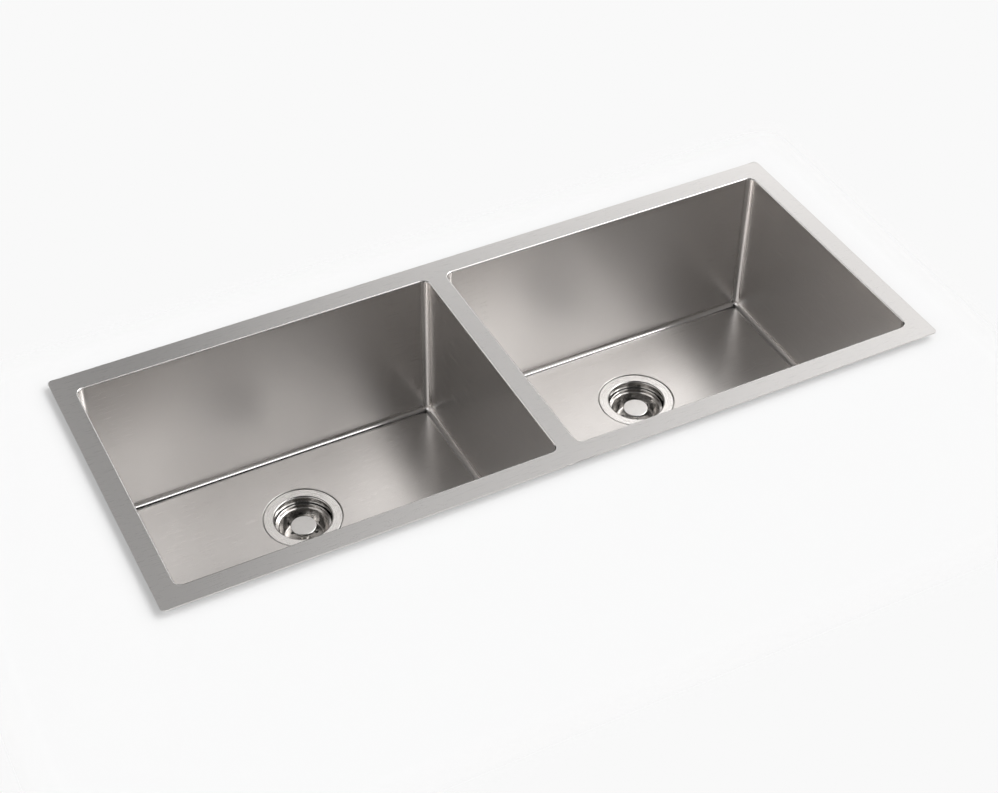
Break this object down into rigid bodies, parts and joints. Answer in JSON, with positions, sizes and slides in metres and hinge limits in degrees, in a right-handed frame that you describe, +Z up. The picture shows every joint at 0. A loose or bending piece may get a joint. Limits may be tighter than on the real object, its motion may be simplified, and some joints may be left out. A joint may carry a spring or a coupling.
{
  "type": "double bowl kitchen sink",
  "caption": "Wide undermount steel kitchen sink with two equal deep straight-sided bowls, a narrow flat rim and bridge, and a lift-out basket strainer in each floor.",
  "frame": {"origin": "middle of the rim's top face, on the bridge between the bowls", "axes": "+X along the sink to the right bowl, -Y to the user, +Z up out of the bowls"},
  "size_m": [1.143, 0.4572, 0.331],
  "materials": {
    "sink_steel": "satin brushed sheet",
    "pad_rubber": "matte sound pad",
    "strainer_steel": "polished cup with a satin flange",
    "seal_rubber": "matte black",
    "washer_fibre": "pressed fibre",
    "nut_zinc": "die-cast zinc",
    "basket_steel": "polished",
    "knob_steel": "satin top",
    "post_steel": "turned",
    "nut_brass": "turned",
    "clip_nylon": "moulded"
  },
  "bodies": {
    "sink": {"top_panel": "sink_steel", "left_bowl": "sink_steel", "left_floor_pad": "pad_rubber", "left_front_pad": "pad_rubber", "left_back_pad": "pad_rubber", "left_end_pad": "pad_rubber", "left_strainer_body": "strainer_steel", "left_outlet": "strainer_steel", "left_flange_seal": "seal_rubber", "left_under_gasket": "seal_rubber", "left_friction_washer": "washer_fibre", "left_lock_nut": "nut_zinc", "right_bowl": "sink_steel", "right_floor_pad": "pad_rubber", "right_front_pad": "pad_rubber", "right_back_pad": "pad_rubber", "right_end_pad": "pad_rubber", "right_strainer_body": "strainer_steel", "right_outlet": "strainer_steel", "right_flange_seal": "seal_rubber", "right_under_gasket": "seal_rubber", "right_friction_washer": "washer_fibre", "right_lock_nut": "nut_zinc"},
    "left_clip": {"left_clip": "clip_nylon"},
    "left_basket": {"left_basket": "basket_steel", "left_knob": "knob_steel", "left_post": "post_steel", "left_stopper": "seal_rubber", "left_stopper_nut": "nut_brass"},
    "right_clip": {"right_clip": "clip_nylon"},
    "right_basket": {"right_basket": "basket_steel", "right_knob": "knob_steel", "right_post": "post_steel", "right_stopper": "seal_rubber", "right_stopper_nut": "nut_brass"}
  },
  "joints": [
    {"name": "left_basket_lift", "type": "slide", "parent": "sink", "child": "left_clip", "axis": [0, 0, 1], "range_m": [0, 0.33]},
    {"name": "left_basket_turn", "type": "hinge", "parent": "left_clip", "child": "left_basket", "pos_m": [-0.27825, 0.068, -0.311], "axis": [0, 0, 1], "continuous": true},
    {"name": "right_basket_lift", "type": "slide", "parent": "sink", "child": "right_clip", "axis": [0, 0, 1], "range_m": [0, 0.33]},
    {"name": "right_basket_turn", "type": "hinge", "parent": "right_clip", "child": "right_basket", "pos_m": [0.27825, 0.068, -0.311], "axis": [0, 0, 1], "continuous": true}
  ]
}
